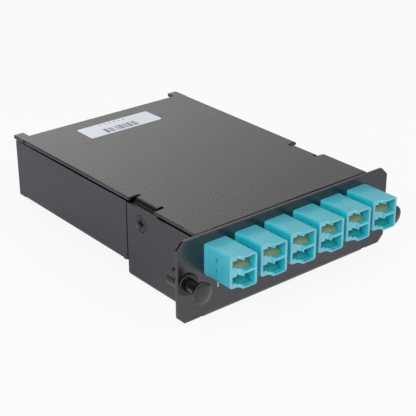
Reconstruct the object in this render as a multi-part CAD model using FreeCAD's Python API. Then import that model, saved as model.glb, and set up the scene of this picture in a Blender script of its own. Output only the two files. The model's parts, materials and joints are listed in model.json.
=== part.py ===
"""Fibre adapter panel: a folded steel module with six duplex adapters and two push-pull plungers.

X runs along the bezel, Y to the rear, Z up. The origin lies on the bezel's back face, midway along it,
at the height of the front floor's underside. All sizes are in millimetres.
"""
import FreeCAD, Part
import math
import os

V = FreeCAD.Vector

# Sheet metal
sheet = 1.6
bend_in = 0.8
bend_out = bend_in + sheet
fold_gap = 0.4
overlap = 1.0

# Bezel, folded up from the floor
bezel_w = 106.7
bezel_z0 = 1.2
bezel_top = 34.2
bezel_chamfer = 3.0
bezel_corner = 0.8
bezel_relief_w = 2.1
bezel_relief_top = 1.55

# Tray behind the bezel
body_w = 87.0
wall_top = 31.9
slit_y = 42.3
slit_w = 0.6
rear_rise = 5.5
wall_rear = 123.6
wall_skirt = 1.0
skirt_corner = 1.2
riser_gap = 0.2
rear_wall_face = 118.9
rear_wall_top = 31.4

# Cover
cover_top = 34.1
cover_front = 0.6
cover_lap_y = 60.0
lip_w = 75.2
lip_bottom = 25.0
ear_in = 39.2
ear_rear = 124.2
ear_jog = 0.35
ear_jog_y = 116.6
ear_notch_y = 119.4
tab_y = (26.6, 39.4)
tab_notch_y = (24.9, 41.2)
tab_relief_in = 38.5
tab_bottom = 20.5

# Label
label_x = (-20.4, 16.9)
label_y = (99.2, 111.5)
label_t = 0.12
label_corner = 1.2

# Countersunk cover screws
screw_y = 33.3
screw_z = 25.9
screw_head_r = 3.35
screw_seat_gap = 0.18
screw_neck_r = 1.75
screw_shank_r = 1.45
screw_length = 4.6
recess_reach = 1.9
recess_half = 0.52
recess_depth = 1.1

# Adapters
adapter_count = 6
adapter_pitch = 14.34
adapter_w = 10.6
adapter_h = 12.6
adapter_z = 24.15
adapter_corner = 1.0
adapter_front = -17.9
latch_front = -15.6
scoop_x = -1.55
scoop_r = 1.2
scoop_drop = 0.3
scoop_lean = 0.4
adapter_rear = 11.0
flange_rim = 0.28
flange_depth = 1.3
cutout_gap = 0.1

# Marks moulded into each adapter's latch-side face
crescent_y = -9.0
crescent_r = 1.3
crescent_w = 1.0
crescent_rise = 2.1
crescent_depth = 0.8
line_y = -11.3
line_w = 0.2
line_half = 5.4
line_depth = 0.15

# Triangle moulded on each adapter's top
mark_x = 0.0
mark_y = -8.0
mark_w = 1.5
mark_length = 1.3
mark_rise = 0.12

# Ports, with X from the adapter's middle
port_pitch = 6.25
port_x = (-0.8, 4.25)
port_half = 2.6
latch_x = -4.3
latch_half = 1.3
rib_x = -1.8
rib_half = 1.8
notch_x = -2.4
notch_half = 2.05
latch_lip = 0.5
core_y = (-6.5, 0.5)
port_axis_x = (port_x[0] + port_x[1]) / 2

# Spring leaf in each port, curled at its root
leaf_root_y = -15.4
leaf_root_lift = 0.2
leaf_t = 0.25
leaf_length = 6.0
leaf_angle = 44.0
leaf_shoulder = 0.9
leaf_gap = 0.2
curl_r = 0.3
curl_groove_r = 0.36
curl_room = 0.5
leaf_corner = 0.6

# Sleeves and plugs inside the adapters
sleeve_r = 0.8
sleeve_bore_r = 0.64
sleeve_end_gap = 0.2
sleeve_slit = 0.25
sleeve_seat_r = 0.82
ferrule_r = 0.63
ferrule_tip_y = -3.0
plug_front_y = 1.0
plug_side = 4.5
plug_corner = 0.6
plug_shell_y = (11.4, 20.0)
plug_boot_y = 30.0
plug_boot_base = (3.6, 5.0)
plug_boot_tip = (2.2, 2.6)

# Spring clip on each adapter, behind the bezel
clip_t = 0.3
clip_y = (0.1, 5.0)
clip_half_x = 3.2
clip_flare = 0.8

# Push-pull plungers in the wings
plunger_x = 48.9
plunger_z = 16.9
grommet_flange_r = 4.35
grommet_flange_t = 1.0
flange_round = 0.45
barrel_r = 3.2
barrel_end = 7.0
barrel_bore_r = 2.65
barrel_round = 0.4
barrel_slot_w = 2.0
barrel_slot_turn = 45.0
neck_r = 3.0
neck_end = 0.1
wing_hole_r = 3.1
pin_r = 2.5
pin_tip_y = 4.0
pin_lead = 0.6
knob_r = 4.25
knob_back = -9.3
knob_rim = -10.2
knob_apex = -11.1
knob_bevel = 0.3
knob_round = 0.3

# Multi-fibre adapter in the rear wall
rear_axis_z = 13.0
rear_body = (14.0, 9.8)
rear_body_y = (106.0, 128.0)
rear_port_size = (10.2, 6.8)
rear_core_y = (115.5, 118.5)
rear_window = (6.8, 2.8)
rear_key = (3.0, 0.8)
rear_flange = (24.0, 10.0)
rear_flange_t = 1.6
rear_flange_corner = 1.5
rear_corner = 0.8
rear_screw_x = 9.6
rear_screw_r = 0.9
rear_head_r = 1.9
rear_head_t = 1.2
rear_slot_w = 0.6
rear_screw_length = 6.0

# Its plug, boot and flat ribbon
rear_plug = (10.0, 6.6)
rear_grip = (12.2, 7.8)
rear_plug_y = (90.0, 115.3)
rear_grip_end = 105.6
grip_corner = 1.0
rear_boot_y = 76.0
rear_boot_tip = (4.4, 2.0)
ribbon = (3.2, 0.5)

# Fan-out block and the six twin-fibre strips
fan_x = 9.0
fan_y = (60.0, 72.0)
fan_half_z = 3.0
fan_foot = 3.0
fan_corner = 1.0
fan_pitch = 3.0
strip_t = 0.8
strip_w = 1.6
strip_ease = 0.98

# Heights and planes that follow from the sizes above
wall_in = body_w / 2 - sheet
floor_half = body_w / 2 - bend_out
bezel_face = -sheet
cover_under = cover_top - sheet
rear_floor = rear_rise + sheet
riser_mid_y = slit_y + bend_in + sheet / 2
lip_face = rear_wall_face + sheet
rear_wall_y = (rear_wall_face - sheet, rear_wall_face)
wings = (-1, 1)
port_names = ("lower", "upper")


def on_plane(plane, u, v):
    """A point from two coordinates on the XY, XZ or YZ plane through the origin."""
    return {"XY": V(u, v, 0), "XZ": V(u, 0, v), "YZ": V(0, u, v)}[plane]


def outline(points, plane):
    """A closed face; a point's third number, where it has one, rounds its corner."""
    corners = []
    for i, point in enumerate(points):
        here = on_plane(plane, point[0], point[1])
        before = on_plane(plane, *points[i - 1][:2])
        after = on_plane(plane, *points[(i + 1) % len(points)][:2])
        if len(point) < 3:
            corners.append((here, None, here))
            continue
        into = (here - before).normalize()
        out = (after - here).normalize()
        half_turn = into.getAngle(out) / 2
        reach = point[2] * math.tan(half_turn)
        centre_way = (out - into).normalize()
        middle = here + centre_way * (point[2] / math.cos(half_turn) - point[2])
        corners.append((here - into * reach, middle, here + out * reach))
    edges = []
    for i, (start, middle, end) in enumerate(corners):
        if middle is not None:
            edges.append(Part.Arc(start, middle, end).toShape())
        following = corners[(i + 1) % len(corners)][0]
        if end.distanceToPoint(following) > 1e-6:
            edges.append(Part.makeLine(end, following))
    return Part.Face(Part.Wire(edges))


def prism(points, plane, start, end):
    """An outline pushed along the axis that its plane leaves free."""
    axis = {"XY": V(0, 0, 1), "XZ": V(0, 1, 0), "YZ": V(1, 0, 0)}[plane]
    face = outline(points, plane)
    face.translate(axis * start)
    return face.extrude(axis * (end - start))


def block(x, y, z):
    """A rectangular block between pairs of limits."""
    return Part.makeBox(x[1] - x[0], y[1] - y[0], z[1] - z[0], V(x[0], y[0], z[0]))


def centred(x, z, width, height, y, corner=None):
    """A bar along Y with a rectangular or rounded section about a centre."""
    extra = () if corner is None else (corner,)
    signs = ((-1, -1), (1, -1), (1, 1), (-1, 1))
    points = [(x + sx * width / 2, z + sz * height / 2) + extra for sx, sz in signs]
    return prism(points, "XZ", y[0], y[1])


def rod(radius, x, z, y):
    """A round bar along Y."""
    return Part.makeCylinder(radius, y[1] - y[0], V(x, y[0], z), V(0, 1, 0))


def folded(path, plane, start, end, thickness=sheet, inner=bend_in):
    """Sheet bent along a mid-line path: inner radius on the inside of each bend, plus the sheet outside."""
    left = []
    right = []
    for i, point in enumerate(path):
        here = V(point[0], point[1], 0)
        before = V(*path[i - 1], 0) if i > 0 else None
        after = V(*path[i + 1], 0) if i < len(path) - 1 else None
        out = (after - here).normalize() if after is not None else (here - before).normalize()
        into = (here - before).normalize() if before is not None else out
        side_in = V(-into.y, into.x, 0)
        side_out = V(-out.y, out.x, 0)
        mitre = (side_in + side_out) * (thickness / 2 / (1 + side_in.dot(side_out)))
        radii = (inner, inner + thickness)
        if into.cross(out).z < 0:
            radii = radii[::-1]
        bends = before is not None and after is not None
        for side, sign, radius in ((left, 1, radii[0]), (right, -1, radii[1])):
            place = here + mitre * sign
            side.append((place.x, place.y, radius) if bends else (place.x, place.y))
    return prism(left + right[::-1], plane, start, end)


def tapered(near, far, length):
    """A bar along Y whose rectangular section grows or shrinks evenly from Y = 0 to its length."""
    x0, z0 = near[0] / 2, near[1] / 2
    x1, z1 = far[0] / 2, far[1] / 2
    return Part.makeWedge(-x0, 0, -z0, -z1, -x1, x0, length, z0, z1, x1)


def turned(points, x, z):
    """A round piece about a line along Y, from an outline of radius and Y."""
    face = outline(points, "XY")
    solid = face.revolve(V(0, 0, 0), V(0, 1, 0), 360)
    solid.translate(V(x, 0, z))
    return solid


def joined(pieces):
    """One solid from pieces that meet or overlap."""
    return pieces[0].fuse(pieces[1:]).removeSplitter()


def adapter_centres():
    """X of each adapter's middle, from left to right."""
    first = -adapter_pitch * (adapter_count - 1) / 2
    return [first + i * adapter_pitch for i in range(adapter_count)]


def port_centres():
    """Z of the lower and the upper port's middle."""
    return (adapter_z - port_pitch / 2, adapter_z + port_pitch / 2)


def mirrored_mouth(steps):
    """A port's section, the same above and below its middle, from pairs of X and half height."""
    lower = []
    for (x0, half), (x1, _) in zip(steps, steps[1:]):
        lower += [(x0, -half), (x1, -half)]
    return lower + [(x, -z) for x, z in reversed(lower)]


def base_tray():
    """Bezel, stepped floor, side walls and rear wall folded from one sheet."""
    strip_path = [
        (bezel_face / 2, bezel_top),
        (bezel_face / 2, sheet / 2),
        (riser_mid_y, sheet / 2),
        (riser_mid_y, rear_rise + sheet / 2),
        (rear_wall_face - sheet / 2, rear_rise + sheet / 2),
        (rear_wall_face - sheet / 2, rear_wall_top),
    ]
    tray = [folded(strip_path, "YZ", -floor_half, floor_half)]
    riser_half = wall_in - riser_gap
    riser_end = riser_mid_y + sheet / 2 + bend_in
    riser_path = [(slit_y, sheet / 2), *strip_path[2:4], (riser_end, rear_rise + sheet / 2)]
    tray.append(folded(riser_path, "YZ", -riser_half, riser_half))
    half = bezel_w / 2
    cut = bezel_chamfer
    relief = floor_half + bezel_relief_w
    bezel = prism(
        [
            (-half, bezel_z0 + cut, bezel_corner),
            (-half + cut, bezel_z0, bezel_corner),
            (half - cut, bezel_z0, bezel_corner),
            (half, bezel_z0 + cut, bezel_corner),
            (half, bezel_top - cut, bezel_corner),
            (half - cut, bezel_top, bezel_corner),
            (-half + cut, bezel_top, bezel_corner),
            (-half, bezel_top - cut, bezel_corner),
        ],
        "XZ", bezel_face, 0,
    )
    under_fold = block((-floor_half, floor_half), (bezel_face, 0), (0, bend_out + overlap))
    beside_fold = block((-relief, relief), (bezel_face, 0), (0, bezel_relief_top))
    tray.append(bezel.cut([under_fold, beside_fold]))
    for sign in wings:
        tray += side_wall(sign)
    tray = joined(tray)
    holes = []
    for x in adapter_centres():
        size = (adapter_w + 2 * cutout_gap, adapter_h + 2 * cutout_gap)
        holes.append(centred(x, adapter_z, *size, (bezel_face, 0)))
    for sign in wings:
        holes.append(rod(wing_hole_r, sign * plunger_x, plunger_z, (bezel_face, 0)))
        holes.append(screw_head(sign, screw_seat_gap))
        holes.append(rod(rear_screw_r, sign * rear_screw_x, rear_axis_z, rear_wall_y))
    size = (rear_body[0] + 2 * cutout_gap, rear_body[1] + 2 * cutout_gap)
    holes.append(centred(0, rear_axis_z, *size, rear_wall_y))
    return tray.cut(holes)


def side_wall(sign):
    """One side's two walls, before and behind the slit, each with its bend to the floor it stands on."""
    faces = (sign * wall_in, sign * body_w / 2)
    rear_start = slit_y + slit_w
    bend_start = riser_mid_y + sheet / 2 + bend_in
    bend_top = rear_rise + bend_out
    skirt_z = rear_rise + wall_skirt
    front = block(sorted(faces), (fold_gap, slit_y), (bend_out, wall_top))
    rear = prism(
        [
            (rear_start, skirt_z, skirt_corner),
            (bend_start, skirt_z),
            (bend_start, bend_top),
            (rear_wall_face, bend_top),
            (rear_wall_face, skirt_z),
            (wall_rear, skirt_z),
            (wall_rear, wall_top),
            (rear_start, wall_top),
        ],
        "YZ", *faces,
    )
    pieces = [front, rear]
    for base_z, start, end in ((0, bend_in + fold_gap, slit_y), (rear_rise, bend_start, rear_wall_face)):
        path = [
            (sign * (floor_half - overlap), base_z + sheet / 2),
            (sign * (wall_in + sheet / 2), base_z + sheet / 2),
            (sign * (wall_in + sheet / 2), base_z + bend_out + overlap),
        ]
        pieces.append(folded(path, "XZ", start, end))
    return pieces


def top_cover():
    """Flat top with a folded rear lip, two ears and a folded screw tab on each side."""
    mid_z = cover_top - sheet / 2
    half = body_w / 2
    under = (cover_under, cover_top)
    plate = block((-half, half), (cover_front, ear_rear), under)
    away = [block((-ear_in, ear_in), (ear_notch_y, ear_rear + overlap), under)]
    added = [
        folded(
            [(cover_lap_y, mid_z), (lip_face - sheet / 2, mid_z), (lip_face - sheet / 2, lip_bottom)],
            "YZ", -lip_w / 2, lip_w / 2,
        )
    ]
    for sign in wings:
        bend_x = wall_in - bend_out
        for y0, y1, inside in (
            (tab_notch_y[0], tab_notch_y[1], bend_x),
            (tab_notch_y[0], tab_y[0], tab_relief_in),
            (tab_y[1], tab_notch_y[1], tab_relief_in),
        ):
            sides = sorted((sign * inside, sign * (half + overlap)))
            away.append(block(sides, (y0, y1), under))
        path = [
            (sign * (bend_x - overlap), mid_z),
            (sign * (wall_in - sheet / 2), mid_z),
            (sign * (wall_in - sheet / 2), tab_bottom),
        ]
        added.append(folded(path, "XZ", *tab_y))
        jog = sorted((sign * (half - overlap), sign * (half + ear_jog)))
        added.append(block(jog, (ear_jog_y, ear_rear), under))
    cover = joined([plate.cut(away)] + added)
    taps = []
    for sign in wings:
        mouth = V(sign * wall_in, screw_y, screw_z)
        taps.append(Part.makeCylinder(screw_shank_r, 2 * sheet, mouth, V(-sign, 0, 0)))
    return cover.cut(taps)


def screw_head(sign, gap=0.0):
    """The countersunk head's cone, or with a gap the wider seat that it has in the side wall."""
    face = V(sign * body_w / 2, screw_y, screw_z)
    return Part.makeCone(screw_head_r + gap, screw_neck_r + gap, sheet, face, V(-sign, 0, 0))


def cover_screws():
    """Two countersunk screws with a cross recess, one through each side wall into the cover's tab."""
    screws = []
    for sign in wings:
        inward = V(-sign, 0, 0)
        neck = V(sign * wall_in, screw_y, screw_z)
        shank = Part.makeCylinder(screw_shank_r, screw_length - sheet, neck, inward)
        face_x = sign * body_w / 2
        sides = sorted((face_x, face_x - sign * recess_depth))
        arms = []
        for along, up in ((recess_reach, recess_half), (recess_half, recess_reach)):
            arms.append(block(sides, (screw_y - along, screw_y + along), (screw_z - up, screw_z + up)))
        screws.append(joined([screw_head(sign), shank]).cut(arms))
    return Part.makeCompound(screws)


def label():
    """Thin card label on the cover."""
    corners = [(x, y, label_corner) for x, y in (
        (label_x[0], label_y[0]),
        (label_x[1], label_y[0]),
        (label_x[1], label_y[1]),
        (label_x[0], label_y[1]),
    )]
    return prism(corners, "XY", cover_top, cover_top + label_t)


def grommet(sign):
    """Flanged grommet snapped into the wing by its neck, its barrel split into two fingers."""
    flange_face = bezel_face - grommet_flange_t
    body = turned(
        [
            (barrel_bore_r, flange_face),
            (grommet_flange_r, flange_face, flange_round),
            (grommet_flange_r, bezel_face),
            (neck_r, bezel_face),
            (neck_r, neck_end),
            (barrel_r, neck_end),
            (barrel_r, barrel_end, barrel_round),
            (barrel_bore_r, barrel_end),
        ],
        sign * plunger_x, plunger_z,
    )
    slot = block((-barrel_r, barrel_r), (0, barrel_end), (-barrel_slot_w / 2, barrel_slot_w / 2))
    slot.rotate(V(0, 0, 0), V(0, sign, 0), -barrel_slot_turn)
    slot.translate(V(sign * plunger_x, 0, plunger_z))
    return body.cut(slot)


def plunger(sign):
    """Domed knob with a rounded rim on a round pin, shown pulled out."""
    apex = V(0, knob_apex, 0)
    rim = V(knob_r, knob_rim, 0)
    sag = knob_rim - knob_apex
    sphere_r = (knob_r ** 2 + sag ** 2) / (2 * sag)
    half = math.asin(knob_r / sphere_r) / 2
    crown = V(sphere_r * math.sin(half), knob_apex + sphere_r * (1 - math.cos(half)), 0)
    points = [
        rim,
        V(knob_r, knob_back + knob_bevel, 0),
        V(knob_r - knob_bevel, knob_back, 0),
        V(pin_r, knob_back, 0),
        V(pin_r, pin_tip_y - pin_lead, 0),
        V(pin_r - pin_lead, pin_tip_y, 0),
        V(0, pin_tip_y, 0),
        apex,
    ]
    edges = [Part.Arc(apex, crown, rim).toShape()]
    edges += [Part.makeLine(a, b) for a, b in zip(points, points[1:])]
    solid = Part.Face(Part.Wire(edges)).revolve(V(0, 0, 0), V(0, 1, 0), 360)
    rims = [edge for edge in solid.Edges if abs(edge.CenterOfMass.y - knob_rim) < 0.01]
    solid = solid.makeFillet(knob_round, rims)
    solid.translate(V(sign * plunger_x, 0, plunger_z))
    return solid


def adapter():
    """Moulded duplex adapter about X = 0: cut-back latch side, flange, stepped ports and sleeve core."""
    half = adapter_w / 2
    plan = prism(
        [
            (-half, adapter_rear),
            (-half, latch_front),
            (scoop_x, latch_front - scoop_drop, scoop_r),
            (scoop_x + scoop_lean, adapter_front),
            (half, adapter_front),
            (half, adapter_rear),
        ],
        "XY", 0, adapter_z * 2,
    )
    length = (adapter_front, adapter_rear)
    section = centred(0, adapter_z, adapter_w, adapter_h, length, adapter_corner)
    flange_size = (adapter_w + flange_rim, adapter_h)
    flange_y = (bezel_face - flange_depth, bezel_face)
    flange = centred(-flange_rim / 2, adapter_z, *flange_size, flange_y, adapter_corner)
    shell = joined([plan.common(section), flange, top_mark()])
    mouth = [
        (latch_x, latch_half),
        (notch_x, notch_half),
        (rib_x, rib_half),
        (port_x[0], port_half),
        (port_x[1], port_half),
    ]
    rear_mouth = [(latch_x, latch_half), (port_x[0], port_half), (port_x[1], port_half)]
    lip_back = latch_front + latch_lip
    away = []
    for z in port_centres():
        floor_z = z - port_half
        front_port = prism(mirrored_mouth(mouth), "XZ", adapter_front, lip_back)
        rear_port = prism(mirrored_mouth(rear_mouth), "XZ", core_y[1], adapter_rear)
        for port in (front_port, rear_port):
            port.translate(V(0, 0, z))
            away.append(port)
        cavity_z = (floor_z, z + port_half)
        away.append(block((latch_x, port_x[1]), (lip_back, core_y[0]), cavity_z))
        away.append(block((rib_x, port_x[1]), (leaf_root_y - curl_room, lip_back), cavity_z))
        groove = V(rib_x, leaf_root_y, floor_z + leaf_root_lift)
        away.append(Part.makeCylinder(curl_groove_r, port_x[1] - rib_x, groove, V(1, 0, 0)))
        away.append(rod(sleeve_seat_r, port_axis_x, z, core_y))
    away += grip_marks()
    return shell.cut(away)


def grip_marks():
    """Two crescents and a fine upright line moulded into an adapter's latch-side face."""
    face_x = -adapter_w / 2
    line_x = (face_x, face_x + line_depth)
    marks = [block(line_x, (line_y, line_y + line_w), (adapter_z - line_half, adapter_z + line_half))]
    for z in (adapter_z - crescent_rise, adapter_z + crescent_rise):
        centre = V(face_x, crescent_y, z)
        disc = Part.makeCylinder(crescent_r, crescent_depth, centre, V(1, 0, 0))
        bite = Part.makeCylinder(crescent_r, crescent_depth, centre - V(0, crescent_w, 0), V(1, 0, 0))
        marks.append(disc.cut(bite))
    return marks


def top_mark():
    """A raised triangle on an adapter's top that shows which way up its plugs go."""
    top = adapter_z + adapter_h / 2
    half = mark_w / 2
    corners = [(mark_x - half, mark_y), (mark_x + half, mark_y), (mark_x, mark_y - mark_length)]
    return prism(corners, "XY", top - overlap, top + mark_rise)


def shutter(z):
    """Spring leaf about X = 0 that slopes up and back from a curl in the port's floor."""
    right = port_x[1] - leaf_gap
    root = rib_x + leaf_gap
    left = latch_x + leaf_gap
    leaf = prism(
        [
            (root, 0),
            (right, 0),
            (right, leaf_length, leaf_corner),
            (left, leaf_length, leaf_corner),
            (left, leaf_shoulder),
            (root, leaf_shoulder),
        ],
        "XY", -leaf_t / 2, leaf_t / 2,
    )
    leaf.rotate(V(0, 0, 0), V(1, 0, 0), leaf_angle)
    curl = Part.makeCylinder(curl_r, right - root, V(root, 0, 0), V(1, 0, 0))
    flap = joined([curl, leaf])
    flap.translate(V(0, leaf_root_y, z - port_half + leaf_root_lift))
    return flap


def sleeve_pair():
    """Two split alignment sleeves about X = 0, one behind each port."""
    span = (core_y[0] + sleeve_end_gap, core_y[1] - sleeve_end_gap)
    sleeves = []
    for z in port_centres():
        tube = rod(sleeve_r, port_axis_x, z, span).cut(rod(sleeve_bore_r, port_axis_x, z, span))
        slit = sleeve_slit / 2
        gap = block((port_axis_x - slit, port_axis_x + slit), span, (z, z + sleeve_r))
        sleeves.append(tube.cut(gap))
    return Part.makeCompound(sleeves)


def inner_plug():
    """Duplex plug about X = 0: two square noses with ferrules, a shared shell and a tapered boot."""
    shell_h = port_pitch + plug_side
    pieces = [centred(port_axis_x, adapter_z, plug_side, shell_h, plug_shell_y, plug_corner)]
    for z in port_centres():
        pieces.append(centred(port_axis_x, z, plug_side, plug_side, (plug_front_y, plug_shell_y[0])))
        pieces.append(rod(ferrule_r, port_axis_x, z, (ferrule_tip_y, plug_front_y)))
    boot = tapered(plug_boot_base, plug_boot_tip, plug_boot_y - plug_shell_y[1])
    boot.translate(V(port_axis_x, plug_shell_y[1], adapter_z))
    pieces.append(boot)
    return joined(pieces)


def retaining_clip():
    """Spring strip about X = 0 round the adapter's right side, with a flared tongue above and below."""
    side_x = adapter_w / 2
    top = adapter_h / 2
    wrap = folded(
        [
            (-clip_half_x, -top - clip_t / 2),
            (side_x + clip_t / 2, -top - clip_t / 2),
            (side_x + clip_t / 2, top + clip_t / 2),
            (-clip_half_x, top + clip_t / 2),
        ],
        "XZ", *clip_y, clip_t, adapter_corner,
    )
    pieces = [wrap]
    for sign in wings:
        tongue = folded(
            [(clip_y[1], sign * (top + clip_t / 2)), (clip_y[0], sign * (top + clip_flare + clip_t / 2))],
            "YZ", -clip_half_x, 0, clip_t,
        )
        tongue.translate(V(clip_half_x / 2, 0, 0))
        pieces.append(tongue)
    clip = joined(pieces)
    clip.translate(V(0, 0, adapter_z))
    return clip


def rear_adapter():
    """Flanged multi-fibre adapter through the rear wall, with a keyed port at each end."""
    body = centred(0, rear_axis_z, *rear_body, rear_body_y, rear_corner)
    flange_y = (rear_wall_face, rear_wall_face + rear_flange_t)
    flange = centred(0, rear_axis_z, *rear_flange, flange_y, rear_flange_corner)
    key_z = (rear_axis_z, rear_axis_z + rear_port_size[1] / 2 + rear_key[1])
    key_x = (-rear_key[0] / 2, rear_key[0] / 2)
    away = [centred(0, rear_axis_z, *rear_window, rear_core_y)]
    for span in ((rear_body_y[0], rear_core_y[0]), (rear_core_y[1], rear_body_y[1])):
        away.append(centred(0, rear_axis_z, *rear_port_size, span))
        away.append(block(key_x, span, key_z))
    for sign in wings:
        away.append(rod(rear_screw_r, sign * rear_screw_x, rear_axis_z, flange_y))
    return joined([body, flange]).cut(away)


def rear_adapter_screws():
    """Two small cheese-head screws that hold the multi-fibre adapter to the rear wall."""
    face = rear_wall_face + rear_flange_t
    screws = []
    for sign in wings:
        x = sign * rear_screw_x
        head = rod(rear_head_r, x, rear_axis_z, (face, face + rear_head_t))
        slot_z = (rear_axis_z - rear_slot_w / 2, rear_axis_z + rear_slot_w / 2)
        slot_y = (face + rear_head_t / 2, face + rear_head_t)
        slot = block((x - rear_head_r, x + rear_head_r), slot_y, slot_z)
        shank = rod(rear_screw_r, x, rear_axis_z, (face - rear_screw_length, face))
        screws.append(joined([head.cut(slot), shank]))
    return Part.makeCompound(screws)


def rear_plug_solid():
    """Multi-fibre plug in the adapter's inner port, with its sliding grip."""
    nose = centred(0, rear_axis_z, *rear_plug, rear_plug_y)
    grip = centred(0, rear_axis_z, *rear_grip, (rear_plug_y[0], rear_grip_end), grip_corner)
    return joined([nose, grip])


def rear_plug_boot():
    """Rubber boot that tapers from the plug to the ribbon."""
    boot = tapered(rear_boot_tip, rear_plug, rear_plug_y[0] - rear_boot_y)
    boot.translate(V(0, rear_boot_y, rear_axis_z))
    return boot


def fibre_ribbon():
    """Flat twelve-fibre ribbon from the boot to the fan-out block."""
    return centred(0, rear_axis_z, *ribbon, (fan_y[1], rear_boot_y))


def fanout_block():
    """Moulded block that splits the ribbon, on two feet stuck to the rear floor."""
    body = centred(0, rear_axis_z, 2 * fan_x, 2 * fan_half_z, fan_y, fan_corner)
    foot_x = (fan_corner - fan_x, fan_x - fan_corner)
    feet = []
    for y in (fan_y[0] + fan_corner, fan_y[1] - fan_corner - fan_foot):
        feet.append(block(foot_x, (y, y + fan_foot), (rear_floor, rear_axis_z)))
    return joined([body] + feet)


def fibre_strip(index):
    """Twin-fibre strip from the fan-out block to one duplex plug: two equal bends in one sloping plane."""
    start_x = (index - (adapter_count - 1) / 2) * fan_pitch
    shift = V(adapter_centres()[index] + port_axis_x - start_x, 0, adapter_z - rear_axis_z)
    side = shift.Length
    run = fan_y[0] - plug_boot_y
    radius = strip_ease * (run ** 2 + side ** 2) / (4 * side)
    turn = 2 * math.atan2(side, run)
    tangent = run / 2 - side / (2 * math.tan(turn))
    path = [(0, fan_y[0]), (0, fan_y[0] - tangent), (side, plug_boot_y + tangent), (side, plug_boot_y)]
    strip = folded(path, "XY", -strip_w / 2, strip_w / 2, strip_t, radius - strip_t / 2)
    tilt = math.degrees(math.atan2(shift.z, shift.x))
    strip.rotate(V(0, 0, 0), V(0, 1, 0), -tilt)
    strip.translate(V(start_x, 0, rear_axis_z))
    return strip


def moved(shape, x):
    """A copy of a shape, moved along X."""
    copy = shape.copy()
    copy.translate(V(x, 0, 0))
    return copy


def all_parts():
    """Every piece under its node's name."""
    parts = {
        "base_tray": base_tray(),
        "top_cover": top_cover(),
        "label": label(),
        "cover_screws": cover_screws(),
        "rear_adapter": rear_adapter(),
        "rear_adapter_screws": rear_adapter_screws(),
        "rear_plug": rear_plug_solid(),
        "rear_plug_boot": rear_plug_boot(),
        "fibre_ribbon": fibre_ribbon(),
        "fanout_block": fanout_block(),
    }
    for name, sign in zip(("left", "right"), wings):
        parts["grommet_" + name] = grommet(sign)
        parts["plunger_" + name] = plunger(sign)
    repeated = {
        "adapter": adapter(),
        "sleeve_pair": sleeve_pair(),
        "inner_plug": inner_plug(),
        "retaining_clip": retaining_clip(),
    }
    for name, z in zip(port_names, port_centres()):
        repeated["shutter_" + name] = shutter(z)
    for index, x in enumerate(adapter_centres()):
        for name, shape in repeated.items():
            parts[f"{name}_{index + 1}"] = moved(shape, x)
        parts[f"fibre_strip_{index + 1}"] = fibre_strip(index)
    return parts


os.makedirs("parts", exist_ok=True)
for node, shape in all_parts().items():
    shape.exportStep(f"parts/{node}.step")
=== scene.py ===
import json

import bmesh
import bpy
import numpy as np
from mathutils import Matrix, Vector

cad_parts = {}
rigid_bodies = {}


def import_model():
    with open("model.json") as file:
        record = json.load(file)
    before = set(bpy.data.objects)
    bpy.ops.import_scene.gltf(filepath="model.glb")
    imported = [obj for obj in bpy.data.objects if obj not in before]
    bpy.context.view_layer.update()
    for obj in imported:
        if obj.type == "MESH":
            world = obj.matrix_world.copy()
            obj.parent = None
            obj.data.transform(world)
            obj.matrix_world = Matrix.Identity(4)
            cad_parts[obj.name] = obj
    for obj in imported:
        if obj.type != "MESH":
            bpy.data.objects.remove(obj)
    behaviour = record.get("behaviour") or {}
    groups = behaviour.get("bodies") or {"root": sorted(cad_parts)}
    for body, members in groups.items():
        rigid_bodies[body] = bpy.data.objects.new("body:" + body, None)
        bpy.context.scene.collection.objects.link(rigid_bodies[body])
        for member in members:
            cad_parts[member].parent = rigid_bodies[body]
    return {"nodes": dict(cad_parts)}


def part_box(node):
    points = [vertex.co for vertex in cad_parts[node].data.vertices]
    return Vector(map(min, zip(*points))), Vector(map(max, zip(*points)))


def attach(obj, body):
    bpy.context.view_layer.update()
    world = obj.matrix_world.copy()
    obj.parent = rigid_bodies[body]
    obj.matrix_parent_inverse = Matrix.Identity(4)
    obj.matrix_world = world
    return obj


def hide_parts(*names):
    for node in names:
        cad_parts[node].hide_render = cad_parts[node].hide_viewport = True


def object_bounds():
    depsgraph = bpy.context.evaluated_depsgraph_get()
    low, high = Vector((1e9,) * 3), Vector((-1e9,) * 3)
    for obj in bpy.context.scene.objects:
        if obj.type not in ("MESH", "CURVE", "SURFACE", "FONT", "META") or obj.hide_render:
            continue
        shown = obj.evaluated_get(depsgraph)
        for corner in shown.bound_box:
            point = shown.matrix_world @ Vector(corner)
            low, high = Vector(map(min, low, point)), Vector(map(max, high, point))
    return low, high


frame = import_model()
cad_low, cad_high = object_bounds()
stage_set = bpy.context.scene.collection.objects

# Camera: it stands where the photograph's did, to the front left and a little above the cover.
# Its place, its turn and its lens come from a pinhole fit to the module's corners, trimmed on the whole view.
eye = (-0.26467, -0.27699, 0.21209)
rightward = (0.77325, -0.63409, -0.00310)
upward = (0.27313, 0.32865, 0.90410)
backward = (-0.57225, -0.69995, 0.42732)
focal_pixels = 1129.0
frame_pixels = 416
sensor_mm = 36.0
nearest = 0.01
lens = bpy.data.cameras.new("photo_view")
lens.sensor_width = sensor_mm
lens.lens = focal_pixels * sensor_mm / frame_pixels
lens.clip_start = nearest
camera = bpy.data.objects.new("photo_view", lens)
camera.matrix_world = Matrix.Translation(eye) @ Matrix((rightward, upward, backward)).transposed().to_4x4()
stage_set.link(camera)
bpy.context.scene.camera = camera


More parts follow.
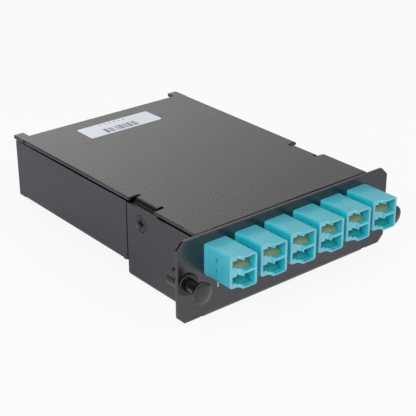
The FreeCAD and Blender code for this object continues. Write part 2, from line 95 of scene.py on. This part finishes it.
# Studio: a pale floor just under the module, a tall white screen behind on the right, dark above and on the
# left, and three soft lamps. The screen is brightest straight behind. The floor looks white to the camera,
# and so does its mirror image in the gloss, ahead of the module and fading to the right. It keeps the shadow.
floor_half = 3.0
floor_drop = 0.0002
floor_pale = (0.74, 0.72, 0.78, 1.0)
floor_lift = 0.90
floor_ahead = (0.06, -0.04)
floor_right = (0.10, 0.03)
screen_dim = (0.560, 0.560, 0.555)
screen_bright = (1.365, 1.370, 1.290)
screen_swell = (0.0, 0.5)
screen_toward = (-0.6, 0.8)
screen_top = (0.46, 0.62)
screen_left = (0.20, -0.25)
screen_front = (0.30, -0.05)
dark_side = (0.06, 0.06, 0.065)
pure_white = (1.0, 1.0, 1.0)
lamp_side = 0.9
lamps = {
    "high_lamp": ((-0.75, -0.45, 1.00), 9.0),
    "left_lamp": ((-1.15, -0.40, 0.32), 8.7),
    "front_lamp": ((0.30, -0.95, 0.85), 6.0),
}


class Wire:
    """A socket of a node tree. Sums of wires and numbers add Math nodes, and node() adds any other node."""

    def __init__(self, tree, socket=None):
        self.tree = tree
        self.socket = socket

    def node(self, kind, settings=None, sockets=None, out=0):
        """A new node: its settings first, then its sockets' values or links; one output comes back."""
        made = self.tree.nodes.new(kind)
        for key, value in (settings or {}).items():
            setattr(made, key, value)
        for key, value in (sockets or {}).items():
            if isinstance(value, Wire):
                self.tree.links.new(value.socket, made.inputs[key])
            else:
                made.inputs[key].default_value = value
        return Wire(self.tree, made.outputs[out] if made.outputs else None)

    def maths(self, operation, first, second=0.0):
        return self.node("ShaderNodeMath", {"operation": operation}, {0: first, 1: second})

    def __add__(self, other):
        return self.maths("ADD", self, other)

    def __sub__(self, other):
        return self.maths("SUBTRACT", self, other)

    def __rsub__(self, other):
        return self.maths("SUBTRACT", other, self)

    def __mul__(self, other):
        return self.maths("MULTIPLY", self, other)

    def __mod__(self, other):
        return self.maths("MODULO", self, other)

    def __abs__(self):
        return self.maths("ABSOLUTE", self)

    __radd__ = __add__
    __rmul__ = __mul__

    def larger(self, other):
        return self.maths("MAXIMUM", self, other)

    def part(self, axis):
        """The X, Y or Z of a vector."""
        return self.node("ShaderNodeSeparateXYZ", None, {0: self}, out=axis)

    def step(self, start, end):
        """Rises softly from 0 to 1 as the wire goes from start to end."""
        return self.node(
            "ShaderNodeMapRange",
            {"interpolation_type": "SMOOTHSTEP"},
            {"Value": self, "From Min": start, "From Max": end},
        )

    def tint(self, low, high):
        """A colour that goes from low to high as the wire goes from 0 to 1."""
        return self.node(
            "ShaderNodeMix", {"data_type": "RGBA"}, {0: self, 6: (*low, 1.0), 7: (*high, 1.0)}, out=2
        )

    def dyed(self, under, colour):
        """The under colour where the wire is 0, and another colour where it is 1."""
        return self.node(
            "ShaderNodeMix", {"data_type": "RGBA"}, {0: self, 6: under, 7: (*colour, 1.0)}, out=2
        )


corner_signs = np.array([(-1, -1), (1, -1), (1, 1), (-1, 1)])
floor_corners = [(x, y, -floor_drop) for x, y in (floor_half * corner_signs).tolist()]
floor_mesh = bpy.data.meshes.new("floor")
floor_mesh.from_pydata(floor_corners, [], [(0, 1, 2, 3)])
floor = bpy.data.objects.new("floor", floor_mesh)
stage_set.link(floor)
paper = bpy.data.materials.new("floor_paper")
paper.use_nodes = True
paper.node_tree.nodes.clear()
start = Wire(paper.node_tree)
shaded = start.node("ShaderNodeBsdfDiffuse", None, {"Color": floor_pale})
glow = start.node("ShaderNodeEmission", None, {"Strength": 1.0})
spot = start.node("ShaderNodeTexCoord", out="Object")
mirrored = start.node("ShaderNodeLightPath", out="Is Glossy Ray")
mirrored = mirrored + start.node("ShaderNodeLightPath", out="Is Transmission Ray")
mirrored = mirrored * spot.part("Y").step(*floor_ahead) * spot.part("X").step(*floor_right)
seen = start.node("ShaderNodeLightPath", out="Is Camera Ray") + mirrored
lifted = start.node("ShaderNodeMixShader", None, {0: seen * floor_lift, 1: shaded, 2: glow})
start.node("ShaderNodeOutputMaterial", None, {"Surface": lifted})
floor_mesh.materials.append(paper)

tent = bpy.data.worlds.new("white_screen")
bpy.context.scene.world = tent
tent.use_nodes = True
tent.node_tree.nodes.clear()
start = Wire(tent.node_tree)
ray = start.node("ShaderNodeTexCoord", out="Generated")
toward = screen_toward[0] * ray.part("X") + screen_toward[1] * ray.part("Y")
light = toward.step(*screen_swell).tint(screen_dim, screen_bright)
overhead = ray.part("Z").step(*screen_top) * ray.part("Y").step(*screen_front)
light = overhead.larger(ray.part("X").step(*screen_left)).dyed(light, dark_side)
light = start.node("ShaderNodeLightPath", out="Is Camera Ray").dyed(light, pure_white)
sky = start.node("ShaderNodeBackground", None, {"Color": light, "Strength": 1.0})
start.node("ShaderNodeOutputWorld", None, {"Surface": sky})

for name, (lamp_place, watts) in lamps.items():
    lamp_data = bpy.data.lights.new(name, "AREA")
    lamp_data.shape = "SQUARE"
    lamp_data.size = lamp_side
    lamp_data.energy = watts
    lamp = bpy.data.objects.new(name, lamp_data)
    stand = Matrix.Translation(lamp_place)
    aim = (cad_low + cad_high) / 2 - stand.translation
    lamp.matrix_world = stand @ aim.to_track_quat("-Z", "Y").to_matrix().to_4x4()
    stage_set.link(lamp)


# Base tray: one steel sheet folded into the bezel, the stepped floor, the side walls and the
# rear wall, then powder coated black with a fine half-gloss texture and softly rounded edges.
coat_deep = (0.0056, 0.0050, 0.0085)
coat_pale = (0.0086, 0.0078, 0.0120)
coat_speck = (0.10, 0.10, 0.105)
coat_relief = 0.00011
coat_index = 1.75
tone_swing = (0.3, 0.7)
speck_fade = 1.6
flat_angle = np.radians(0.6)
fold_angle = np.radians(35.0)
edge_turns = 2
tray_edge = 0.00033
bezel_back = 0.0002
bezel_top = 0.0310
wing_end = 0.0522
foot_side = 0.0440
foot_top = 0.0045
shortest_fold = 0.004
fold_share = 0.5


def new_finish(name):
    """An empty finish, the start of its node tree, and the place on the piece that its patterns read."""
    material = bpy.data.materials.new(name)
    material.use_nodes = True
    material.node_tree.nodes.clear()
    start = Wire(material.node_tree)
    return material, start, start.node("ShaderNodeTexCoord", out="Object")


def noise(place, scale, detail=2.0, rough=0.5):
    """Cloudy pattern from 0 to 1 with scale lumps in a metre."""
    return place.node(
        "ShaderNodeTexNoise", None, {"Vector": place, "Scale": scale, "Detail": detail, "Roughness": rough}
    )


def specks(place, scale, size):
    """1 in small round specks, one for each cell of 1/scale metres, and 0 elsewhere."""
    far = place.node("ShaderNodeTexVoronoi", None, {"Vector": place, "Scale": scale}, out="Distance")
    return 1.0 - far.step(size, speck_fade * size)


def dented(height, depth):
    """The surface normal, tipped by a height pattern of the given depth in metres."""
    return height.node(
        "ShaderNodeBump", None, {"Strength": 1.0, "Distance": depth, "Height": height}, out="Normal"
    )


def close_finish(start, sockets):
    """Ends a finish in one plastic, paint or metal shader."""
    shader = start.node("ShaderNodeBsdfPrincipled", None, sockets)
    start.node("ShaderNodeOutputMaterial", None, {"Surface": shader})


def merged_skin(data, name):
    """A CAD node's loose triangles as one skin: equal points are joined and flat areas become one face."""
    points = np.empty(len(data.vertices) * 3)
    data.vertices.foreach_get("co", points)
    corners = np.empty(len(data.loops), int)
    data.loops.foreach_get("vertex_index", corners)
    shared, index = np.unique(points.reshape(-1, 3), axis=0, return_inverse=True)
    faces = index.ravel()[corners].reshape(-1, 3)
    whole = (faces != np.roll(faces, 1, axis=1)).all(axis=1)
    mesh = bpy.data.meshes.new(name)
    mesh.from_pydata(shared.tolist(), [], faces[whole].tolist())
    shape = bmesh.new()
    shape.from_mesh(mesh)
    bmesh.ops.dissolve_limit(shape, angle_limit=flat_angle, verts=shape.verts, edges=shape.edges)
    shape.to_mesh(mesh)
    shape.free()
    mesh.shade_smooth()
    mesh.set_sharp_from_angle(angle=fold_angle)
    return mesh


def weigh_edges(mesh, share):
    """Gives each sharp edge its part of the rounding's width, from its middle and its length."""
    ends = np.empty(len(mesh.edges) * 2, int)
    mesh.edges.foreach_get("vertices", ends)
    places = np.empty(len(mesh.vertices) * 3)
    mesh.vertices.foreach_get("co", places)
    spans = places.reshape(-1, 3)[ends].reshape(-1, 2, 3)
    sharp = np.empty(len(mesh.edges), bool)
    mesh.attributes["sharp_edge"].data.foreach_get("value", sharp)
    weights = sharp * share(spans.mean(axis=1), np.linalg.norm(spans[:, 1] - spans[:, 0], axis=1))
    mesh.attributes.new("bevel_weight_edge", "FLOAT", "EDGE").data.foreach_set("value", weights)


def softened(name, body, material, edge, share=None):
    """A CAD node's own shape with its sharp edges rounded: a bevel of the given width runs along each edge
    that folds more than fold_angle, or takes the part of that width that a share gives the edge."""
    mesh = merged_skin(frame["nodes"][name].data, name + "_finished")
    mesh.materials.append(material)
    piece = bpy.data.objects.new(name + "_finished", mesh)
    stage_set.link(piece)
    bevel = piece.modifiers.new("rounded_edges", "BEVEL")
    bevel.width = edge
    bevel.segments = edge_turns
    bevel.limit_method = "ANGLE"
    bevel.angle_limit = fold_angle
    bevel.harden_normals = True
    if share:
        weigh_edges(mesh, share)
        bevel.limit_method = "WEIGHT"
        bevel.use_clamp_overlap = False
    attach(piece, body)
    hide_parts(name)


def bezel_rounding(middle, length):
    """The whole width round the bezel's outline down to its foot, and half along the tray's longer edges."""
    sideways = np.abs(middle[:, 0])
    high = middle[:, 2]
    foot = (sideways > foot_side) & (high < foot_top)
    outline = (middle[:, 1] < bezel_back) & ((high > bezel_top) | (sideways > wing_end) | foot)
    return np.where(outline, 1.0, fold_share * (length > shortest_fold))


black_coat, start, place = new_finish("black_powder_coat")
pebble = noise(place, scale=1050.0)
grain = noise(place, scale=2600.0, detail=3.0, rough=0.6)
cloud = noise(place, scale=60.0, detail=3.0)
dust = specks(place, scale=170.0, size=0.016)
tone = (0.6 * cloud + 0.4 * grain).step(*tone_swing).tint(coat_deep, coat_pale)
close_finish(start, {
    "Base Color": dust.dyed(tone, coat_speck),
    "Roughness": 0.18 + 0.08 * grain + 0.06 * cloud,
    "Normal": dented(0.9 * pebble + 0.1 * grain, coat_relief),
    "IOR": coat_index,
})
softened("base_tray", "module", black_coat, tray_edge, share=bezel_rounding)


# Port numbers: white digits screen printed on the bezel below the adapters, one for each adapter.
# The ink is a film two hundredths of a millimetre thick, a little uneven in its cover.
ink_film = 0.00002
digit_height = 0.0026
digit_foot = 0.0110
digit_shift = 0.0009
digit_bold = 0.00008
digit_fill = 0.7
glyph_steps = 4
bezel_face = -0.0016
adapter_count = 6
adapter_pitch = 0.01434


def adapter_x(index):
    """X of an adapter's middle, counted from 1 on the left."""
    return (index - 1 - (adapter_count - 1) / 2) * adapter_pitch


def plain_finish(name, colours, tone, skin, rough, relief, stretch=(1.0, 1.0, 1.0), **fixed):
    """A finish from two noise patterns, each given by its scale, its detail and perhaps its roughness. The
    tone pattern blends the two colours. The skin pattern adds to the roughness, from rough's first value by
    up to its second, and dents the surface by the relief's depth. A stretch draws both out into lines."""
    material, start, place = new_finish(name)
    place = start.node("ShaderNodeMapping", None, {"Vector": place, "Scale": stretch})
    grain = noise(place, *skin)
    close_finish(start, {
        "Base Color": noise(place, *tone).tint(*colours),
        "Roughness": rough[0] + rough[1] * grain,
        "Normal": dented(grain, relief),
        **fixed,
    })
    return material


def ink(name, low, high):
    """Printed ink: an even colour with a faint cloud that also shows in its gloss."""
    cloud = (1500.0, 3.0)
    return plain_finish(name, (low, high), tone=cloud, skin=cloud, rough=(0.42, 0.2), relief=0.000006)


def printed(name, text, height, place, material, bold=0.0):
    """Digits as a thin film: flat glyphs with their sides, made a mesh and then put in their place."""
    glyph = bpy.data.curves.new(name, "FONT")
    glyph.body = text
    glyph.align_x = "CENTER"
    glyph.size = height / digit_fill
    glyph.extrude = ink_film / 2
    glyph.offset = bold
    glyph.resolution_u = glyph_steps
    holder = bpy.data.objects.new(name + "_glyph", glyph)
    mesh = bpy.data.meshes.new_from_object(holder)
    bpy.data.objects.remove(holder)
    mesh.name = name
    mesh.transform(place)
    mesh.materials.clear()
    mesh.materials.append(material)
    piece = bpy.data.objects.new(name, mesh)
    stage_set.link(piece)
    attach(piece, "module")


white_ink = ink("white_ink", (0.80, 0.81, 0.82), (0.90, 0.91, 0.92))
upright = Matrix.Rotation(np.pi / 2, 4, "X")
for port in range(1, adapter_count + 1):
    name = f"port_number_{port}"
    foot = Matrix.Translation((adapter_x(port) + digit_shift, bezel_face - ink_film / 2, digit_foot))
    printed(name, str(port), digit_height, foot @ upright, white_ink, digit_bold)


# Grommets: black nylon bushes snapped into the wings, with a round flange in front of the bezel
# and a barrel split by one wide slot behind it. Moulded, with a smooth skin.
nylon_edge = 0.00012
nylon_deep = (0.003, 0.003, 0.004)
nylon_pale = (0.006, 0.006, 0.007)
nylon_relief = 0.000004


def nylon(name, skin, index):
    """Black nylon: a fine moulded grain and faint clouds on a skin of the given roughness and index."""
    material, start, place = new_finish(name)
    grain = noise(place, scale=4200.0)
    cloud = noise(place, scale=240.0)
    close_finish(start, {
        "Base Color": cloud.tint(nylon_deep, nylon_pale),
        "Roughness": skin + 0.08 * grain + 0.04 * cloud,
        "Normal": dented(grain, nylon_relief),
        "IOR": index,
    })
    return material


bush_nylon = nylon("bush_nylon", skin=0.16, index=1.48)
for side in ("left", "right"):
    softened(f"grommet_{side}", "module", bush_nylon, nylon_edge)


# Plungers: a domed nylon knob on a round pin that slides through each grommet and spreads its barrel.
# Moulded, with a small radius round the knob's rim and a glossier skin than the grommet's.
knob_nylon = nylon("knob_nylon", skin=0.12, index=1.65)
for side in ("left", "right"):
    softened(f"plunger_{side}", f"plunger_{side}", knob_nylon, nylon_edge)


# Adapters: six duplex housings moulded in aqua plastic, pushed through the bezel up to their rim.
# The front's outline carries a small mould radius. The skin is satin with a very fine spark grain. Faces that
# point forward get a paler aqua as a painted sheen, and the aqua is painted deeper in the ports and on the
# sides where two housings meet, as painted shade and teal bounce light.
adapter_edge = 0.00018
adapter_middle = 0.02415
adapter_row = adapter_count * adapter_pitch
aqua_low = (0.052, 0.430, 0.530)
aqua_high = (0.062, 0.460, 0.560)
# A paler aqua painted on faces turned forward, as a painted sheen.
aqua_painted_sheen = (0.152, 0.462, 0.548)
# A deeper aqua painted in the ports, as painted shade and teal bounce light.
aqua_port_shade = (0.008, 0.490, 0.570)
# A deeper aqua painted on the sides where two housings meet, as painted shade and teal bounce light.
aqua_gap_shade = (0.016, 0.550, 0.640)
aqua_relief = 0.000006
aqua_index = 1.76
sheen_front = (-0.0150, -0.0154)
sheen_collar = (-0.0035, -0.0030)
sheen_facing = (-0.05, -0.35)
port_reach = (0.0048, 0.0044)
port_height = (0.0058, 0.0054)
port_depth = (-0.0179, -0.0170)
flank_reach = (0.0050, 0.0053)
flank_end = (0.0370, adapter_x(adapter_count))
front_back = -0.0145
ports_half_x = 0.0046
ports_z = (0.01836, 0.03006)


def from_adapter(x):
    """How far an X, in an array or on a wire, lies from its own adapter's middle: X modulo the adapters'
    pitch, less half of it."""
    return abs((x + adapter_row) % adapter_pitch - adapter_pitch / 2)


def front_rim(middle, length):
    """The whole width round the outline of an adapter's front, outside its ports."""
    beside = from_adapter(middle[:, 0]) > ports_half_x
    beyond = (middle[:, 2] < ports_z[0]) | (middle[:, 2] > ports_z[1])
    return 1.0 * ((beside | beyond) & (middle[:, 1] < front_back))


aqua_plastic, start, place = new_finish("aqua_plastic")
grain = noise(place, scale=5200.0)
cloud = noise(place, scale=130.0)
sideways = from_adapter(place.part("X"))
depth = place.part("Y")
height = abs(place.part("Z") - adapter_middle)
facing = start.node("ShaderNodeNewGeometry", out="Normal").part("Y")
# Painted sheen: a paler aqua on faces that point forward, at the front and at the collar by the bezel.
painted_sheen = depth.step(*sheen_front).larger(depth.step(*sheen_collar)) * facing.step(*sheen_facing)
# Painted shade and teal bounce light in each port.
painted_port_shade = sideways.step(*port_reach) * height.step(*port_height) * depth.step(*port_depth)
# Painted shade and teal bounce light on the sides that face the next housing.
painted_gap_shade = sideways.step(*flank_reach) * abs(place.part("X")).step(*flank_end)
tone = painted_gap_shade.dyed(cloud.step(*tone_swing).tint(aqua_low, aqua_high), aqua_gap_shade)
close_finish(start, {
    "Base Color": painted_sheen.dyed(painted_port_shade.dyed(tone, aqua_port_shade), aqua_painted_sheen),
    "Roughness": 0.22 + 0.14 * grain,
    "Normal": dented(grain, aqua_relief),
    "IOR": aqua_index,
})
for port in range(1, adapter_count + 1):
    softened(f"adapter_{port}", "module", aqua_plastic, adapter_edge, share=front_rim)


# Spring clips: bright steel strip round each adapter behind the bezel, with flared tongues.
# Cut from rolled strip, so its polish runs in fine lines along the strip.
def dress(names, material):
    """Gives CAD nodes that keep their own shape a better finish."""
    for name in names:
        frame["nodes"][name].material_slots[0].material = material


def numbered(stem):
    """The names of one piece in every adapter."""
    return [f"{stem}_{port}" for port in range(1, adapter_count + 1)]


spring_steel = plain_finish(
    "spring_steel",
    colours=((0.52, 0.52, 0.53), (0.66, 0.66, 0.66)),
    tone=(700.0, 3.0),
    skin=(700.0, 3.0),
    rough=(0.24, 0.16),
    relief=0.000004,
    stretch=(1.0, 12.0, 1.0),
    Metallic=1.0,
)
dress(numbered("retaining_clip"), spring_steel)


# Alignment sleeves: split tubes of white ceramic, two inside each adapter.
# Ground smooth, with a faint warm cloud in the white.
sleeve_ceramic = plain_finish(
    "sleeve_ceramic",
    colours=((0.80, 0.79, 0.76), (0.88, 0.88, 0.86)),
    tone=(900.0, 3.0),
    skin=(900.0, 3.0),
    rough=(0.16, 0.12),
    relief=0.000002,
)
dress(numbered("sleeve_pair"), sleeve_ceramic)


# Port shutters: a thin leaf in each port that slopes up and back and folds down under a plug.
# The upper ones are khaki bronze and the lower ones are a deep teal.
leaf_edge = 0.00005
leaf_bronze = plain_finish(
    "leaf_bronze",
    colours=((0.215, 0.255, 0.120), (0.265, 0.310, 0.155)),
    tone=(500.0, 2.0),
    skin=(3800.0, 3.0),
    rough=(0.42, 0.2),
    relief=0.000005,
    Metallic=0.10,
)
leaf_teal = plain_finish(
    "leaf_teal",
    colours=((0.003, 0.270, 0.295), (0.006, 0.305, 0.330)),
    tone=(400.0, 2.0),
    skin=(4600.0, 2.0),
    rough=(0.40, 0.15),
    relief=0.000005,
    IOR=1.35,
)
for upper, lower in zip(numbered("shutter_upper"), numbered("shutter_lower")):
    softened(upper, upper, leaf_bronze, leaf_edge)
    softened(lower, lower, leaf_teal, leaf_edge)


# Inner plugs: beige duplex plugs pushed into the adapters from behind, with a tapered boot.
# Moulded, satin, and seen only with the cover off.
plug_plastic = plain_finish(
    "plug_plastic",
    colours=((0.60, 0.53, 0.40), (0.68, 0.61, 0.47)),
    tone=(180.0, 2.0),
    skin=(4500.0, 2.0),
    rough=(0.34, 0.14),
    relief=0.000006,
)
dress(numbered("inner_plug"), plug_plastic)


# Inner fibres: aqua twin strips from each plug to the fan-out block, and the flat ribbon behind it.
# Extruded jackets with a smooth skin that shows faint draw lines.
fibre_jacket = plain_finish(
    "fibre_jacket",
    colours=((0.020, 0.38, 0.43), (0.035, 0.44, 0.49)),
    tone=(400.0, 2.0),
    skin=(400.0, 2.0),
    rough=(0.30, 0.12),
    relief=0.000004,
    stretch=(6.0, 1.0, 6.0),
)
dress([*numbered("fibre_strip"), "fibre_ribbon"], fibre_jacket)


# Rear connector: a flanged multi-fibre adapter in the rear wall with its plug, and the fan-out block.
# All are moulded in matt black plastic with a visible spark grain.
plastic_edge = 0.00016
black_plastic = plain_finish(
    "black_plastic",
    colours=((0.012, 0.012, 0.013), (0.020, 0.020, 0.021)),
    tone=(150.0, 2.0),
    skin=(3200.0, 3.0),
    rough=(0.38, 0.18),
    relief=0.000012,
)
softened("rear_adapter", "module", black_plastic, plastic_edge)
dress(["rear_plug", "fanout_block"], black_plastic)


# Plug boot: a tapered rubber sleeve that keeps the ribbon from kinking behind the rear plug.
# Moulded rubber, matt, with a dusty bloom.
boot_rubber = plain_finish(
    "boot_rubber",
    colours=((0.016, 0.016, 0.017), (0.034, 0.034, 0.036)),
    tone=(420.0, 4.0, 0.6),
    skin=(420.0, 4.0, 0.6),
    rough=(0.62, 0.2),
    relief=0.00001,
)
dress(["rear_plug_boot"], boot_rubber)


# Top cover: a steel sheet with a folded rear lip, two ears and two screw tabs that drop into the
# side notches. It has the same black powder coat as the tray.
cover_edge = 0.00055
ears_start = 0.1160
ear_share = 0.3
shortest_edge = 0.003


def long_edges(middle, length):
    """The whole width along each straight edge of 3 mm or more, and less on the ears at the rear."""
    return np.where(middle[:, 1] < ears_start, 1.0, ear_share) * (length > shortest_edge)


softened("top_cover", "module", black_coat, cover_edge, share=long_edges)


# Screws: countersunk cover screws with a cross recess, and two slotted cheese-head ones at the rear.
# Steel blackened in an oxide bath, which leaves a fine even grain.
screw_edge = 0.00008
dark_steel = plain_finish(
    "dark_steel",
    colours=((0.016, 0.016, 0.018), (0.030, 0.030, 0.032)),
    tone=(350.0, 2.0),
    skin=(3000.0, 3.0),
    rough=(0.28, 0.14),
    relief=0.000006,
    Metallic=0.25,
    IOR=1.6,
)
softened("cover_screws", "module", dark_steel, screw_edge)
softened("rear_adapter_screws", "module", dark_steel, screw_edge)


# Label: a satin card stuck on the cover near its rear edge, printed with a row of digits and plain bars.
# Its corners are rounded and its edge rolls over a little where the die cut it.
label_low, label_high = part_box("label")
label_size = label_high - label_low
label_corner = 0.0012
corner_steps = 8
card_roll = 0.00004
card_drop = 2 * ink_film
card_relief = 0.000004
card_pale = (0.73, 0.78, 0.865)
card_white = (0.79, 0.83, 0.905)
bar_ink = (0.07, 0.07, 0.08)
bar_edge = (0.48, 0.50)
bars_x = (0.245, 0.700)
bars_y = (0.090, 0.480)
bars_soft_x = 0.002
bars_soft_y = 0.006
bars_in_metre = 900.0
digits_x = (0.300, 0.630)
digits_y = 0.800
table_digit = 0.0015


def card_outline(half_x, half_y, corner):
    """Rounded rectangle: four quarter circles about the inner corners, one after the other."""
    quarter = np.linspace(0.0, np.pi / 2, corner_steps)
    angles = np.concatenate([quarter + turn * np.pi / 2 for turn in range(4)])
    signs = np.repeat(np.array([(1, 1), (-1, 1), (-1, -1), (1, -1)]), corner_steps, axis=0)
    inner = np.array([half_x - corner, half_y - corner])
    return signs * inner + corner * np.stack([np.cos(angles), np.sin(angles)], axis=1)


def card_mesh(name, low, high):
    """A closed card: rings of its outline, shrunk by each ring's share, go from the top over the rolled
    edge to the underside, and a fan of triangles about a middle point closes each end."""
    middle = (np.array(low) + np.array(high)) / 2
    half = (np.array(high) - np.array(low)) / 2
    ring = card_outline(half[0], half[1], label_corner)
    top = half[2]
    shares = np.array([0.5, 0.985, 0.997, 1.0, 1.0, 0.5])
    rolls = np.array([0.0, 0.0, 0.3, 1.0])
    heights = np.concatenate([top - card_roll * rolls, [-top, -top]])
    grid = np.empty((len(shares), len(ring), 3))
    grid[:, :, :2] = shares[:, None, None] * ring
    grid[:, :, 2] = heights[:, None]
    poles = np.array([(0, 0, top), (0, 0, -top)])
    points = np.concatenate([grid.reshape(-1, 3), poles]) + middle
    last_row = (len(shares) - 1) * len(ring)
    top_pole = len(points) - 2
    rows = np.arange(len(shares) - 1)[:, None] * len(ring)
    here = np.arange(len(ring))
    there = np.roll(here, -1)
    quads = np.stack([rows + here, rows + len(ring) + here, rows + len(ring) + there, rows + there], axis=2)
    top_fan = np.stack([np.full_like(here, top_pole), here, there], axis=1)
    under_fan = np.stack([np.full_like(here, top_pole + 1), last_row + there, last_row + here], axis=1)
    mesh = bpy.data.meshes.new(name)
    faces = quads.reshape(-1, 4).tolist() + top_fan.tolist() + under_fan.tolist()
    mesh.from_pydata(points.tolist(), [], faces)
    mesh.shade_smooth()
    mesh.set_sharp_from_angle(angle=fold_angle)
    return mesh


def within(wire, low, high, soft):
    """1 where the wire is from low to high, with a short soft run outside each end."""
    return wire.step(low - soft, low) * (1.0 - wire.step(high, high + soft))


label_card, start, place = new_finish("label_card")
near = start.node("ShaderNodeMapping", None, {"Vector": place, "Location": -label_low})
along = near.part("X") * (1.0 / label_size.x)
over = near.part("Y") * (1.0 / label_size.y)
fibres = noise(place, scale=3000.0, detail=4.0, rough=0.65)
cloud = noise(place, scale=90.0)
only_x = start.node("ShaderNodeMapping", None, {"Vector": place, "Scale": (1.0, 0.0, 0.0)})
stripes = noise(only_x, scale=bars_in_metre, detail=1.0).step(*bar_edge)
bars = stripes * within(along, *bars_x, bars_soft_x) * within(over, *bars_y, bars_soft_y)
card_tone = (0.5 * cloud + 0.5 * fibres).step(*tone_swing).tint(card_pale, card_white)
close_finish(start, {
    "Base Color": (bars * (0.7 + 0.3 * fibres)).dyed(card_tone, bar_ink),
    "Roughness": 0.40 + 0.18 * fibres,
    "Normal": dented(fibres, card_relief),
})
card_shape = card_mesh("label_finished", label_low, np.array(label_high) - (0.0, 0.0, card_drop))
card_shape.materials.append(label_card)
card = bpy.data.objects.new("label_finished", card_shape)
stage_set.link(card)
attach(card, "module")
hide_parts("label")
grey_ink = ink("grey_ink", (0.07, 0.07, 0.08), (0.12, 0.12, 0.13))
row_y = label_low.y + digits_y * label_size.y
row_z = label_high.z - card_drop + ink_film / 2
for port, share in enumerate(np.linspace(*digits_x, adapter_count), 1):
    foot = Matrix.Translation((label_low.x + share * label_size.x, row_y, row_z))
    printed(f"label_number_{port}", str(port), table_digit, foot, grey_ink)


# Close: colours go to the picture as they are.
bpy.context.scene.view_settings.view_transform = "Standard"
